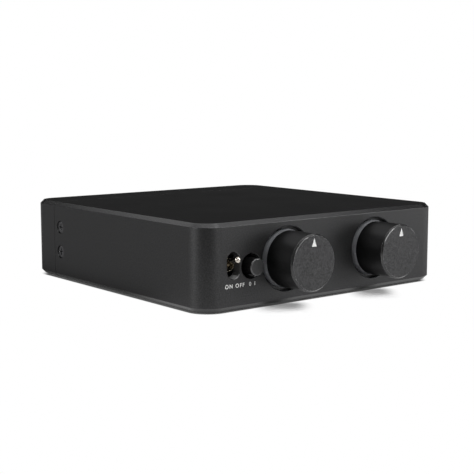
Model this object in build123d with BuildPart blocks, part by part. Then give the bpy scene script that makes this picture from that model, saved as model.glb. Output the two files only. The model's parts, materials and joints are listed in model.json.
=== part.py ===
from build123d import *
import os

# Phono preamp: a low square aluminium case on four short feet. Two knobs, a toggle and a
# push button are on the front; the jacks, the ground post and the power inlet are on the back.
#
# Frame: +X to the right as seen from the front, +Y to the back, +Z up, in millimetres.
# The origin is on the desk, under the middle of the whole object, knobs and jacks included.

# ---------------------------------------------------------------- driving dimensions

# Case
case_width = 152.4
case_depth = 152.4
total_height = 40.0
foot_gap = 0.7
corner_radius = 11.0
top_chamfer = 1.8
bottom_chamfer = 1.7
side_wall = 3.2
front_wall = 5.0
top_wall = 3.0
rear_wall = 3.0
rear_cap_depth = 22.9
seam_gap = 0.3
edge_break = 0.3

# How far the knobs and the jacks stand out of the case
knob_reach = 18.0
jack_reach = 9.6

# Base plate, feet and the columns that the base plate is screwed to
plate_thickness = 2.0
plate_clearance = 0.15
drill_overrun = 1.0
foot_radius = 6.0
foot_pocket_depth = 1.0
foot_inset_x = 16.2
foot_inset_y = 16.0
column_radius = 4.5
column_inset_x = 7.2
column_inset_y = 8.0
middle_column_y = 2.0

# Screws: M3, countersunk with a cross recess, or with a pan head
screw_radius = 1.48
thread_hole_radius = 1.5
clearance_hole_radius = 1.65
countersink_radius = 3.3
countersunk_head_radius = 2.8
pan_head_radius = 2.75
pan_head_height = 1.7
cross_length = 3.6
cross_width = 0.75
cross_depth = 0.9
side_screw_setback = 5.9
side_screw_heights = (14.3, 27.2)
side_screw_length = 7.4
base_screw_length = 9.0

# Tongues of the rear cap, which reach forward into the shell
tongue_thickness = 4.45
tongue_reach = 12.0
tongue_root = 8.0
tongue_bottom = 8.0
tongue_height = 25.0

# Circuit board
standoff_height = 5.3
standoff_width = 5.5
board_thickness = 1.6
board_width = 128.0
board_front_inset = 15.0
board_rear_inset = 5.4
board_hole_x = 46.0
board_hole_front_y = -36.0
board_hole_rear_y = 56.0
board_screw_length = 5.5

# Knobs and their potentiometers
control_height = 20.9
gain_x = -27.5
volume_x = 29.4
recess_radius = 15.1
recess_depth = 3.0
knob_radius = 13.15
knob_edge_width = 0.7
knob_edge_depth = 0.9
flange_radius = 13.7
flange_rise = 0.7
flange_sunk = 1.7
flange_thickness = 0.6
knob_hollow_radius = 7.0
knob_hollow_depth = 3.4
pointer_tip = 11.4
pointer_base = 7.5
pointer_half_width = 1.4
pointer_depth = 0.2
shaft_radius = 3.0
shaft_reach = 13.0
shaft_flat = 1.5
shaft_flat_length = 11.5
set_screw_setback = 7.0
set_screw_length = 6.8
set_screw_socket_radius = 0.75
set_screw_socket_depth = 2.3
bushing_radius = 3.5
bushing_hole_radius = 3.55
running_clearance = 0.05
pot_nut_flats = 10.0
pot_nut_thickness = 2.0
pot_washer_radius = 5.75
pot_washer_thickness = 0.5
pot_plate_width = 17.0
pot_plate_thickness = 1.2
pot_gang_radius = 8.2
pot_gang_thickness = 4.6
pot_gang_gap = 1.0
pot_bore_depth = 9.0
pot_pin_pitch = 5.0
pin_width = 1.0
pin_thickness = 0.6

# Toggle
toggle_x = -59.1
toggle_height = 20.7
slot_width = 7.2
slot_height = 11.9
lever_pivot_depth = 8.7
lever_tilt = 14.5
lever_length = 13.2
lever_tip_radius = 1.5
lever_neck_radius = 1.0
lever_ball_radius = 1.9
lever_pin_radius = 0.5
lever_pin_length = 3.8
lever_tail_length = 3.2
lever_tail_radius = 0.8
toggle_bushing_radius = 3.0
toggle_bushing_sunk = 3.6
toggle_bushing_mouth = 2.85
toggle_bore_radius = 2.0
toggle_body_width = 8.6
toggle_body_depth = 9.5
toggle_body_height = 12.2
toggle_body_gap = 4.8
toggle_pin_pitch = 2.54

# Push button
button_x = -49.0
button_height = 19.6
button_hole_radius = 5.6
button_radius = 3.9
button_edge = 0.3
button_reach = 4.4
button_length = 12.4
plunger_width = 3.0
plunger_clearance = 0.1
plunger_in_cap = 5.0
plunger_in_switch = 8.0
switch_body_width = 8.0
switch_body_depth = 14.0
switch_body_height = 8.4
spring_radius = 2.75
spring_wire_radius = 0.25
spring_turns = 6
switch_gap = 6.0
switch_pin_pitch = 3.5
switch_row_spacing = 6.0

# Phono jacks: an output pair and an input pair
jack_height = 20.0
jack_spacing = 18.0
output_pair_x = 21.0
input_pair_x = -21.0
jack_body_depth = 11.0
jack_body_width = 31.0
jack_body_height = 17.0
jack_nose_radius = 5.5
jack_nose_hole_radius = 5.6
jack_nose_proud = 0.4
barrel_radius = 4.15
barrel_root_radius = 4.5
barrel_bore_radius = 3.35
barrel_length = 20.0
insert_bore_radius = 2.1
insert_recess = 0.7
contact_bore_radius = 1.65
contact_recess = 1.5
contact_slit = 0.4
contact_floor = 1.5

# Ground post
ground_x = -56.0
ground_height = 20.0
post_radius = 2.0
post_length = 20.0
post_collar_radius = 5.0
post_collar_thickness = 1.0
post_nut_flats = 7.0
post_nut_thickness = 2.8
lug_radius = 4.0
lug_thickness = 0.8
lug_tail_length = 9.0
lug_tail_width = 3.2
ground_washer_radius = 4.8
ground_washer_hole_radius = 2.2
ground_washer_thickness = 0.8
thumb_nut_radius = 5.0
thumb_nut_length = 5.2
thumb_nut_bevel = 0.5
knurl_count = 30
knurl_depth = 0.35

# Power inlet
inlet_x = 58.0
inlet_width = 9.0
inlet_body_depth = 11.0
inlet_body_height = 11.0
inlet_axis_height = 6.5
inlet_nose_radius = 3.9
inlet_nose_hole_radius = 4.0
inlet_nose_sunk = 0.2
inlet_bore_radius = 2.85
inlet_bore_depth = 9.5
inlet_pin_radius = 1.05
inlet_pin_sunk = 0.8

# ---------------------------------------------------------------- places that follow

overall_depth = knob_reach + case_depth + jack_reach
front_y = knob_reach - overall_depth / 2
rear_y = front_y + case_depth
case_middle_y = (front_y + rear_y) / 2
seam_y = rear_y - rear_cap_depth
inner_front_y = front_y + front_wall
inner_rear_y = rear_y - rear_wall
inner_width = case_width - 2 * side_wall
inner_depth = inner_rear_y - inner_front_y
inner_middle_y = (inner_front_y + inner_rear_y) / 2
inner_radius = corner_radius - side_wall
roof_z = total_height - top_wall
plate_top_z = foot_gap + plate_thickness
board_z = plate_top_z + standoff_height
board_top_z = board_z + board_thickness
countersunk_head_sunk = countersink_radius - countersunk_head_radius
seat_cone_height = countersunk_head_radius - screw_radius
side_screw_y = seam_y - side_screw_setback

column_places = [
    (side * (case_width / 2 - column_inset_x), y)
    for side in (-1, 1)
    for y in (inner_front_y + column_inset_y, middle_column_y, inner_rear_y - column_inset_y)
]
side_screw_planes = [
    Plane(origin=(side * case_width / 2, side_screw_y, height), z_dir=(side, 0, 0))
    for side in (-1, 1)
    for height in side_screw_heights
]
base_screw_planes = [Plane(origin=(x, y, foot_gap), z_dir=(0, 0, -1)) for x, y in column_places]
foot_places = [
    (side * (case_width / 2 - foot_inset_x), y)
    for side in (-1, 1)
    for y in (front_y + foot_inset_y, rear_y - foot_inset_y)
]
board_hole_places = [
    (side * board_hole_x, y)
    for side in (-1, 1)
    for y in (board_hole_front_y, board_hole_rear_y)
]
jack_places = {
    "right_output": (output_pair_x - jack_spacing / 2, jack_height),
    "left_output": (output_pair_x + jack_spacing / 2, jack_height),
    "right_input": (input_pair_x - jack_spacing / 2, jack_height),
    "left_input": (input_pair_x + jack_spacing / 2, jack_height),
}
inlet_z = board_top_z + inlet_axis_height


def across(y):
    """The upright plane at y, seen from the front: local x is X, local y is Z, and it faces the front."""
    return Plane.XZ.offset(-y)


def front_plane(x, z, reach=0.0):
    """The upright plane whose origin is the point (x, z) of the front, moved forward by reach."""
    return Plane(origin=(x, front_y - reach, z), x_dir=(1, 0, 0), z_dir=(0, -1, 0))


def radial_plane(x, z):
    """The plane through a front control's axis: local x is the radius, local y the distance forward."""
    return Plane(origin=(x, front_y, z), x_dir=(0, 0, 1), z_dir=(1, 0, 0))


def forward_axis(x, z):
    """A front control's axis, which points forward."""
    return Axis((x, front_y, z), (0, -1, 0))


# ---------------------------------------------------------------- case

with BuildPart() as hollow_case:
    with BuildSketch(Plane.XY.offset(foot_gap)):
        with Locations((0, case_middle_y)):
            RectangleRounded(case_width, case_depth, corner_radius)
    extrude(amount=total_height - foot_gap)
    chamfer(hollow_case.faces().sort_by(Axis.Z)[-1].edges(), top_chamfer)
    chamfer(hollow_case.faces().sort_by(Axis.Z)[0].edges(), bottom_chamfer)
    with BuildSketch(Plane.XY.offset(foot_gap)):
        with Locations((0, inner_middle_y)):
            RectangleRounded(inner_width, inner_depth, inner_radius)
    extrude(amount=roof_z - foot_gap, mode=Mode.SUBTRACT)
    with BuildSketch(Plane.XY.offset(plate_top_z)):
        with Locations(*column_places):
            Circle(column_radius)
    extrude(amount=roof_z - plate_top_z)
    with BuildSketch(Plane.XY.offset(plate_top_z)):
        with Locations(*column_places):
            Circle(thread_hole_radius)
    extrude(amount=base_screw_length, mode=Mode.SUBTRACT)

with BuildPart() as top_shell:
    add(hollow_case.part)
    split(bisect_by=across(seam_y - seam_gap / 2), keep=Keep.TOP)
    with Locations(front_plane(gain_x, control_height), front_plane(volume_x, control_height)):
        CounterBoreHole(bushing_hole_radius, recess_radius, recess_depth, depth=front_wall)
    with Locations(front_plane(button_x, button_height)):
        Hole(button_hole_radius, depth=front_wall)
    with BuildSketch(front_plane(toggle_x, toggle_height)):
        SlotOverall(slot_height, slot_width, rotation=90)
    extrude(amount=-front_wall, mode=Mode.SUBTRACT)
    chamfer(top_shell.faces().sort_by(Axis.Y)[0].inner_wires().edges(), edge_break)
    with Locations(*side_screw_planes):
        CounterSinkHole(clearance_hole_radius, countersink_radius, side_wall, counter_sink_angle=90)
top_shell.part.label = "top_shell"

with BuildPart() as rear_cap:
    add(hollow_case.part)
    split(bisect_by=across(seam_y + seam_gap / 2), keep=Keep.BOTTOM)
    # Each tongue clears the shell's side wall and is joined to the cap's own wall behind the seam.
    for side in (-1, 1):
        inner_align = Align.MAX if side > 0 else Align.MIN
        tongue_x = side * (inner_width / 2 - plate_clearance)
        with BuildSketch(Plane.XY.offset(tongue_bottom)):
            with Locations((tongue_x, seam_y - tongue_reach)):
                Rectangle(tongue_thickness, tongue_reach + tongue_root, align=(inner_align, Align.MIN))
            with Locations((side * (inner_width / 2 + plate_clearance), seam_y + seam_gap / 2)):
                Rectangle(tongue_thickness, tongue_root - seam_gap / 2, align=(inner_align, Align.MIN))
        extrude(amount=tongue_height)
    with Locations(*side_screw_planes):
        Hole(thread_hole_radius, depth=side_wall + tongue_thickness + drill_overrun)
    with BuildSketch(across(rear_y)):
        with Locations(*jack_places.values()):
            Circle(jack_nose_hole_radius)
        with Locations((output_pair_x, jack_height), (input_pair_x, jack_height)):
            Circle(clearance_hole_radius)
        with Locations((ground_x, ground_height)):
            Circle(post_radius + running_clearance)
        with Locations((inlet_x, inlet_z)):
            Circle(inlet_nose_hole_radius)
    extrude(amount=rear_wall, mode=Mode.SUBTRACT)
rear_cap.part.label = "rear_cap"

with BuildPart() as base_plate:
    with BuildSketch(Plane.XY.offset(foot_gap)):
        with Locations((0, inner_middle_y)):
            RectangleRounded(
                inner_width - 2 * plate_clearance,
                inner_depth - 2 * plate_clearance,
                inner_radius - plate_clearance,
            )
    extrude(amount=plate_thickness)
    with BuildSketch(Plane.XY.offset(foot_gap)):
        with Locations(*foot_places):
            Circle(foot_radius + plate_clearance)
    extrude(amount=foot_pocket_depth, mode=Mode.SUBTRACT)
    with Locations(*base_screw_planes):
        CounterSinkHole(clearance_hole_radius, countersink_radius, plate_thickness, counter_sink_angle=90)
base_plate.part.label = "base_plate"

with BuildPart() as rubber_feet:
    with BuildSketch():
        with Locations(*foot_places):
            Circle(foot_radius)
    extrude(amount=foot_gap + foot_pocket_depth)
    fillet(rubber_feet.edges().group_by(Axis.Z)[0], edge_break)
rubber_feet.part.label = "rubber_feet"


# ---------------------------------------------------------------- screws


def countersunk_screw(length):
    """A countersunk screw that points down, with the middle of its head at the origin."""
    with BuildPart() as screw:
        with BuildSketch(Plane.XZ):
            with BuildLine():
                Polyline(
                    (0, 0),
                    (countersunk_head_radius, 0),
                    (screw_radius, -seat_cone_height),
                    (screw_radius, -length),
                    (0, -length),
                    close=True,
                )
            make_face()
        revolve(axis=Axis.Z)
        with BuildSketch():
            Rectangle(cross_length, cross_width)
            Rectangle(cross_width, cross_length)
        extrude(amount=-cross_depth, mode=Mode.SUBTRACT)
    return screw.part


def pan_head_screw(length):
    """A pan head screw that points down, with the middle of its head's underside at the origin."""
    with BuildPart() as screw:
        Cylinder(pan_head_radius, pan_head_height, align=(Align.CENTER, Align.CENTER, Align.MIN))
        fillet(screw.edges().group_by(Axis.Z)[-1], pan_head_height / 2)
        Cylinder(screw_radius, length, align=(Align.CENTER, Align.CENTER, Align.MAX))
        with BuildSketch(Plane.XY.offset(pan_head_height)):
            Rectangle(cross_length, cross_width)
            Rectangle(cross_width, cross_length)
        extrude(amount=-cross_depth, mode=Mode.SUBTRACT)
    return screw.part


side_screw = countersunk_screw(side_screw_length)
base_screw = countersunk_screw(base_screw_length)
board_screw = pan_head_screw(board_screw_length)

with BuildPart() as side_screws:
    with Locations(*[plane.offset(-countersunk_head_sunk) for plane in side_screw_planes]):
        add(side_screw)
side_screws.part.label = "side_screws"

with BuildPart() as base_screws:
    with Locations(*[plane.offset(-countersunk_head_sunk) for plane in base_screw_planes]):
        add(base_screw)
base_screws.part.label = "base_screws"

with BuildPart() as board_screws:
    with Locations(*[(x, y, board_top_z) for x, y in board_hole_places]):
        add(board_screw)
board_screws.part.label = "board_screws"

with BuildPart() as jack_screws:
    for x in (output_pair_x, input_pair_x):
        with Locations(Plane(origin=(x, rear_y, jack_height), z_dir=(0, 1, 0))):
            add(board_screw)
jack_screws.part.label = "jack_screws"


# ---------------------------------------------------------------- knobs and potentiometers

knob_base = flange_sunk + flange_thickness
hollow_top = knob_hollow_depth - knob_base


def make_knob(x):
    """A round knob, hollow behind, flared at its foot, with a pointer cut into its face."""
    with BuildPart() as knob:
        with BuildSketch(radial_plane(x, control_height)):
            with BuildLine():
                Polyline(
                    (knob_hollow_radius, -knob_base),
                    (flange_radius, -knob_base),
                    (flange_radius, -flange_sunk),
                    (knob_radius, flange_rise),
                    (knob_radius, knob_reach - knob_edge_depth),
                    (knob_radius - knob_edge_width, knob_reach),
                    (0, knob_reach),
                    (0, shaft_reach),
                    (shaft_radius, shaft_reach),
                    (shaft_radius, hollow_top),
                    (knob_hollow_radius, hollow_top),
                    close=True,
                )
            make_face()
        revolve(axis=forward_axis(x, control_height))
        with BuildSketch(front_plane(x, control_height, knob_reach)):
            with BuildLine():
                Polyline(
                    (0, pointer_tip),
                    (-pointer_half_width, pointer_base),
                    (pointer_half_width, pointer_base),
                    close=True,
                )
            make_face()
        extrude(amount=-pointer_depth, mode=Mode.SUBTRACT)
        with BuildSketch(Plane.XY.offset(control_height - shaft_flat)):
            with Locations((x, front_y - set_screw_setback)):
                Circle(thread_hole_radius)
        extrude(amount=-knob_radius, mode=Mode.SUBTRACT)
    return knob


def make_set_screw(x):
    """The headless screw under the knob, tight against the flat of the shaft."""
    with BuildPart() as screw:
        with BuildSketch(Plane.XY.offset(control_height - shaft_flat)):
            with Locations((x, front_y - set_screw_setback)):
                Circle(screw_radius)
        extrude(amount=-set_screw_length)
        with BuildSketch(Plane.XY.offset(control_height - shaft_flat - set_screw_length)):
            with Locations((x, front_y - set_screw_setback)):
                RegularPolygon(set_screw_socket_radius, 6)
        extrude(amount=set_screw_socket_depth, mode=Mode.SUBTRACT)
    return screw


def make_pot_shaft(x):
    """The turning shaft of a potentiometer, with a flat where the knob's screw bears."""
    with BuildPart() as shaft:
        with BuildSketch(front_plane(x, control_height, shaft_reach)):
            Circle(shaft_radius)
        extrude(amount=-(shaft_reach + front_wall + pot_bore_depth - edge_break))
        with BuildSketch(front_plane(x, control_height, shaft_reach)):
            with Locations((0, -shaft_flat)):
                Rectangle(2 * shaft_radius, shaft_radius, align=(Align.CENTER, Align.MAX))
        extrude(amount=-shaft_flat_length, mode=Mode.SUBTRACT)
    return shaft


def make_pot_housing(x):
    """A two-gang potentiometer's fixed part: threaded bushing, front plate, gangs and pins."""
    with BuildPart() as housing:
        with BuildSketch(front_plane(x, control_height, 0)):
            Circle(bushing_radius)
        extrude(amount=-front_wall)
        with BuildSketch(front_plane(x, control_height, -front_wall)):
            Rectangle(pot_plate_width, pot_plate_width)
        extrude(amount=-pot_plate_thickness)
        depth = front_wall + pot_plate_thickness
        gang_depths = (depth, depth + pot_gang_thickness + pot_gang_gap)
        with BuildSketch(front_plane(x, control_height, -depth)):
            Circle(pot_gang_radius - pot_gang_gap)
        extrude(amount=-(2 * pot_gang_thickness + pot_gang_gap))
        for gang_depth in gang_depths:
            with BuildSketch(front_plane(x, control_height, -gang_depth)):
                Circle(pot_gang_radius)
                with Locations((0, -pot_gang_radius / 2)):
                    Rectangle(2 * pot_gang_radius, pot_gang_radius)
            extrude(amount=-pot_gang_thickness)
            pin_y = front_y + gang_depth + pot_gang_thickness / 2
            with BuildSketch(Plane.XY.offset(board_top_z)):
                with Locations((x, pin_y)):
                    with GridLocations(pot_pin_pitch, 0, 3, 1):
                        Rectangle(pin_width, pin_thickness)
            extrude(amount=control_height - pot_gang_radius - board_top_z)
        with BuildSketch(front_plane(x, control_height, 0)):
            Circle(shaft_radius + running_clearance)
        extrude(amount=-(front_wall + pot_bore_depth), mode=Mode.SUBTRACT)
    return housing


gain_knob = make_knob(gain_x)
gain_knob.part.label = "gain_knob"
volume_knob = make_knob(volume_x)
volume_knob.part.label = "volume_knob"
gain_knob_set_screw = make_set_screw(gain_x)
gain_knob_set_screw.part.label = "gain_knob_set_screw"
volume_knob_set_screw = make_set_screw(volume_x)
volume_knob_set_screw.part.label = "volume_knob_set_screw"
gain_pot_shaft = make_pot_shaft(gain_x)
gain_pot_shaft.part.label = "gain_pot_shaft"
volume_pot_shaft = make_pot_shaft(volume_x)
volume_pot_shaft.part.label = "volume_pot_shaft"
gain_pot_housing = make_pot_housing(gain_x)
gain_pot_housing.part.label = "gain_pot_housing"
volume_pot_housing = make_pot_housing(volume_x)
volume_pot_housing.part.label = "volume_pot_housing"

with BuildPart() as pot_washers:
    with BuildSketch(across(front_y + recess_depth)):
        with Locations((gain_x, control_height), (volume_x, control_height)):
            Circle(pot_washer_radius)
            Circle(bushing_hole_radius, mode=Mode.SUBTRACT)
    extrude(amount=pot_washer_thickness)
pot_washers.part.label = "pot_washers"

with BuildPart() as pot_nuts:
    with BuildSketch(across(front_y + recess_depth - pot_washer_thickness)):
        with Locations((gain_x, control_height), (volume_x, control_height)):
            RegularPolygon(pot_nut_flats / 2, 6, major_radius=False)
            Circle(bushing_hole_radius, mode=Mode.SUBTRACT)
    extrude(amount=pot_nut_thickness)
pot_nuts.part.label = "pot_nuts"

# ---------------------------------------------------------------- toggle

pivot_y = front_y + lever_pivot_depth
toggle_body_front_y = inner_front_y + toggle_body_gap
lever_plane = Plane(origin=(toggle_x, pivot_y, toggle_height), x_dir=(1, 0, 0), z_dir=(0, -1, 0))
lever_plane = lever_plane.rotated((-lever_tilt, 0, 0))
lever_axis = Axis(lever_plane.origin, lever_plane.z_dir)
lever_section = Plane(origin=lever_plane.origin, x_dir=lever_plane.y_dir, z_dir=lever_plane.x_dir)

with BuildPart() as toggle_lever:
    # In this section, local x is the radius and local y the distance from pivot to tip.
    with BuildSketch(lever_section):
        with BuildLine():
            Polyline(
                (0, -lever_tail_length),
                (lever_tail_radius, -lever_tail_length),
                (lever_tail_radius, 0),
                (lever_neck_radius, 0),
                (lever_tip_radius, lever_length - lever_tip_radius),
            )
            CenterArc((0, lever_length - lever_tip_radius), lever_tip_radius, 0, 90)
            Line((0, lever_length), (0, -lever_tail_length))
        make_face()
    revolve(axis=lever_axis)
    with Locations(lever_plane):
        Sphere(lever_ball_radius)
        Cylinder(lever_pin_radius, lever_pin_length, rotation=(0, 90, 0))
toggle_lever.part.label = "toggle_lever"

with BuildPart() as toggle_bushing:
    with BuildSketch(radial_plane(toggle_x, toggle_height)):
        with BuildLine():
            Polyline(
                (toggle_bore_radius, -(front_wall + toggle_body_gap)),
                (toggle_bushing_radius, -(front_wall + toggle_body_gap)),
                (toggle_bushing_radius, -toggle_bushing_sunk),
                (toggle_bushing_mouth, -toggle_bushing_sunk),
                (toggle_bore_radius, -lever_pivot_depth + lever_ball_radius),
                close=True,
            )
        make_face()
    revolve(axis=forward_axis(toggle_x, toggle_height))
toggle_bushing.part.label = "toggle_bushing"

with BuildPart() as toggle_housing:
    with BuildSketch(across(toggle_body_front_y)):
        with Locations((toggle_x, toggle_height)):
            Rectangle(toggle_body_width, toggle_body_height)
    extrude(amount=-toggle_body_depth)
    with BuildSketch(Plane.XY.offset(board_top_z)):
        with Locations((toggle_x, toggle_body_front_y + toggle_body_depth / 2)):
            with GridLocations(toggle_pin_pitch, 0, 3, 1):
                Rectangle(pin_width, pin_thickness)
    extrude(amount=toggle_height - toggle_body_height / 2 - board_top_z)
    with BuildSketch(across(toggle_body_front_y)):
        with Locations((toggle_x, toggle_height)):
            Circle(toggle_bushing_radius - edge_break)
    extrude(amount=-2 * lever_tail_length, mode=Mode.SUBTRACT)
toggle_housing.part.label = "toggle_housing"

# ---------------------------------------------------------------- push button

cap_back_y = front_y - button_reach + button_length
switch_front_y = cap_back_y + switch_gap

with BuildPart() as button_cap:
    with BuildSketch(front_plane(button_x, button_height, button_reach)):
        Circle(button_radius)
    extrude(amount=-button_length)
    chamfer(button_cap.edges().group_by(Axis.Y)[0], button_edge)
    with BuildSketch(across(cap_back_y)):
        with Locations((button_x, button_height)):
            Rectangle(plunger_width, plunger_width)
    extrude(amount=plunger_in_cap, mode=Mode.SUBTRACT)
button_cap.part.label = "button_cap"

with BuildPart() as button_plunger:
    with BuildSketch(across(cap_back_y - plunger_in_cap)):
        with Locations((button_x, button_height)):
            Rectangle(plunger_width, plunger_width)
    extrude(amount=-(plunger_in_cap + switch_gap + plunger_in_switch))
button_plunger.part.label = "button_plunger"

with BuildPart() as button_switch_housing:
    with BuildSketch(across(switch_front_y)):
        with Locations((button_x, button_height)):
            Rectangle(switch_body_width, switch_body_height)
    extrude(amount=-switch_body_depth)
    with BuildSketch(Plane.XY.offset(board_top_z)):
        with Locations((button_x, switch_front_y + switch_body_depth / 2)):
            with GridLocations(switch_row_spacing, switch_pin_pitch, 2, 3):
                Rectangle(pin_width, pin_thickness)
    extrude(amount=button_height - switch_body_height / 2 - board_top_z)
    with BuildSketch(across(switch_front_y)):
        with Locations((button_x, button_height)):
            Rectangle(plunger_width + 2 * plunger_clearance, plunger_width + 2 * plunger_clearance)
    extrude(amount=-(switch_body_depth - 2 * pin_width), mode=Mode.SUBTRACT)
button_switch_housing.part.label = "button_switch_housing"

with BuildPart() as button_spring:
    coil_start = (button_x, switch_front_y - spring_wire_radius, button_height)
    coil_height = switch_gap - 2 * spring_wire_radius
    with BuildLine() as coil:
        Helix(coil_height / spring_turns, coil_height, spring_radius, coil_start, (0, -1, 0))
    with BuildSketch(coil.line ^ 0):
        Circle(spring_wire_radius)
    sweep(path=coil.line, is_frenet=True)
button_spring.part.label = "button_spring"

# ---------------------------------------------------------------- phono jacks

barrel_front_y = rear_y + jack_reach - barrel_length


def make_jack_housing(pair_x):
    """The moulded body of one pair of jacks, with a round nose through the rear wall for each."""
    places = [(pair_x + side * jack_spacing / 2, jack_height) for side in (-1, 1)]
    with BuildPart() as housing:
        with BuildSketch(across(inner_rear_y)):
            with Locations((pair_x, board_top_z)):
                Rectangle(jack_body_width, jack_body_height, align=(Align.CENTER, Align.MIN))
        extrude(amount=jack_body_depth)
        with BuildSketch(across(inner_rear_y)):
            with Locations(*places):
                Circle(jack_nose_radius)
        extrude(amount=-(rear_wall + jack_nose_proud))
        with BuildSketch(across(rear_y + jack_nose_proud)):
            with Locations(*places):
                Circle(barrel_root_radius)
        extrude(amount=rear_y + jack_nose_proud - barrel_front_y, mode=Mode.SUBTRACT)
        with BuildSketch(across(inner_rear_y)):
            with Locations((pair_x, jack_height)):
                Circle(thread_hole_radius)
        extrude(amount=board_screw_length, mode=Mode.SUBTRACT)
    return housing


input_jack_housing = make_jack_housing(input_pair_x)
input_jack_housing.part.label = "input_jack_housing"
output_jack_housing = make_jack_housing(output_pair_x)
output_jack_housing.part.label = "output_jack_housing"

with BuildPart() as jack_barrels:
    with BuildSketch(across(barrel_front_y)):
        with Locations(*jack_places.values()):
            Circle(barrel_radius)
    extrude(amount=-barrel_length)
    chamfer(jack_barrels.edges().group_by(Axis.Y)[-1], edge_break)
    with BuildSketch(across(barrel_front_y)):
        with Locations(*jack_places.values()):
            Circle(barrel_root_radius)
    extrude(amount=barrel_front_y - rear_y - jack_nose_proud)
    with BuildSketch(across(barrel_front_y + contact_floor)):
        with Locations(*jack_places.values()):
            Circle(barrel_bore_radius)
    extrude(amount=contact_floor - barrel_length, mode=Mode.SUBTRACT)
jack_barrels.part.label = "jack_barrels"


def make_inserts(names):
    """The coloured insulators inside the barrels of the jacks named."""
    with BuildPart() as inserts:
        with BuildSketch(across(barrel_front_y + contact_floor)):
            with Locations(*[jack_places[name] for name in names]):
                Circle(barrel_bore_radius)
                Circle(insert_bore_radius, mode=Mode.SUBTRACT)
        extrude(amount=contact_floor + insert_recess - barrel_length)
    return inserts


white_jack_inserts = make_inserts(("left_output", "left_input"))
white_jack_inserts.part.label = "white_jack_inserts"
red_jack_inserts = make_inserts(("right_output", "right_input"))
red_jack_inserts.part.label = "red_jack_inserts"

with BuildPart() as jack_centre_contacts:
    contact_length = barrel_length - contact_floor - contact_recess
    with BuildSketch(across(barrel_front_y + contact_floor)):
        with Locations(*jack_places.values()):
            Circle(insert_bore_radius)
    extrude(amount=-contact_length)
    with BuildSketch(across(barrel_front_y + 2 * contact_floor)):
        with Locations(*jack_places.values()):
            Circle(contact_bore_radius)
            Rectangle(contact_slit, 2 * insert_bore_radius)
            Rectangle(2 * insert_bore_radius, contact_slit)
    extrude(amount=contact_floor - contact_length, mode=Mode.SUBTRACT)
jack_centre_contacts.part.label = "jack_centre_contacts"

# ---------------------------------------------------------------- ground post

ground_place = (ground_x, ground_height)
post_front_y = rear_y + jack_reach - post_length
collar_rear_y = rear_y + post_collar_thickness
washer_rear_y = collar_rear_y + ground_washer_thickness

with BuildPart() as ground_post:
    with BuildSketch(across(post_front_y)):
        with Locations(ground_place):
            Circle(post_radius)
    extrude(amount=-post_length)
    chamfer(ground_post.edges().group_by(Axis.Y)[-1], edge_break)
    with BuildSketch(across(rear_y)):
        with Locations(ground_place):
            Circle(post_collar_radius)
    extrude(amount=-post_collar_thickness)
ground_post.part.label = "ground_post"

with BuildPart() as ground_post_nut:
    with BuildSketch(across(inner_rear_y)):
        with Locations(ground_place):
            RegularPolygon(post_nut_flats / 2, 6, major_radius=False)
            Circle(post_radius, mode=Mode.SUBTRACT)
    extrude(amount=post_nut_thickness)
ground_post_nut.part.label = "ground_post_nut"

with BuildPart() as ground_lug:
    with BuildSketch(across(inner_rear_y - post_nut_thickness)):
        with Locations(ground_place):
            Circle(lug_radius)
            Rectangle(lug_tail_width, lug_tail_length, align=(Align.CENTER, Align.MAX))
            Circle(post_radius + running_clearance, mode=Mode.SUBTRACT)
    extrude(amount=lug_thickness)
ground_lug.part.label = "ground_lug"

with BuildPart() as ground_washer:
    with BuildSketch(across(collar_rear_y)):
        with Locations(ground_place):
            Circle(ground_washer_radius)
            Circle(ground_washer_hole_radius, mode=Mode.SUBTRACT)
    extrude(amount=-ground_washer_thickness)
ground_washer.part.label = "ground_washer"

with BuildPart() as ground_thumb_nut:
    nut_plane = Plane(origin=(ground_x, washer_rear_y, ground_height), x_dir=(-1, 0, 0), z_dir=(0, 1, 0))
    with BuildSketch(nut_plane):
        Circle(thumb_nut_radius)
        with PolarLocations(thumb_nut_radius, knurl_count):
            RegularPolygon(knurl_depth, 4, rotation=0, mode=Mode.SUBTRACT)
    extrude(amount=thumb_nut_length)
    with BuildSketch(nut_plane.offset(thumb_nut_length)):
        Circle(thumb_nut_radius + thumb_nut_bevel)
        Circle(thumb_nut_radius - thumb_nut_bevel, mode=Mode.SUBTRACT)
    extrude(amount=-thumb_nut_bevel, taper=45, mode=Mode.SUBTRACT)
    with BuildSketch(nut_plane):
        Circle(post_radius + running_clearance)
    extrude(amount=thumb_nut_length, mode=Mode.SUBTRACT)
ground_thumb_nut.part.label = "ground_thumb_nut"

# ---------------------------------------------------------------- power inlet

inlet_nose_y = rear_y - inlet_nose_sunk

with BuildPart() as power_inlet:
    with BuildSketch(across(inner_rear_y)):
        with Locations((inlet_x, board_top_z)):
            Rectangle(inlet_width, inlet_body_height, align=(Align.CENTER, Align.MIN))
    extrude(amount=inlet_body_depth)
    with BuildSketch(across(inner_rear_y)):
        with Locations((inlet_x, inlet_z)):
            Circle(inlet_nose_radius)
    extrude(amount=inner_rear_y - inlet_nose_y)
    with BuildSketch(across(inlet_nose_y)):
        with Locations((inlet_x, inlet_z)):
            Circle(inlet_bore_radius)
    extrude(amount=inlet_bore_depth, mode=Mode.SUBTRACT)
power_inlet.part.label = "power_inlet"

with BuildPart() as power_inlet_pin:
    with BuildSketch(across(inlet_nose_y - inlet_pin_sunk)):
        with Locations((inlet_x, inlet_z)):
            Circle(inlet_pin_radius)
    extrude(amount=inlet_bore_depth - inlet_pin_sunk)
    fillet(power_inlet_pin.edges().group_by(Axis.Y)[-1], inlet_pin_radius / 2)
power_inlet_pin.part.label = "power_inlet_pin"

# ---------------------------------------------------------------- circuit board

board_front_y = front_y + board_front_inset
board_rear_y = rear_y - board_rear_inset
board_middle_y = (board_front_y + board_rear_y) / 2

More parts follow.
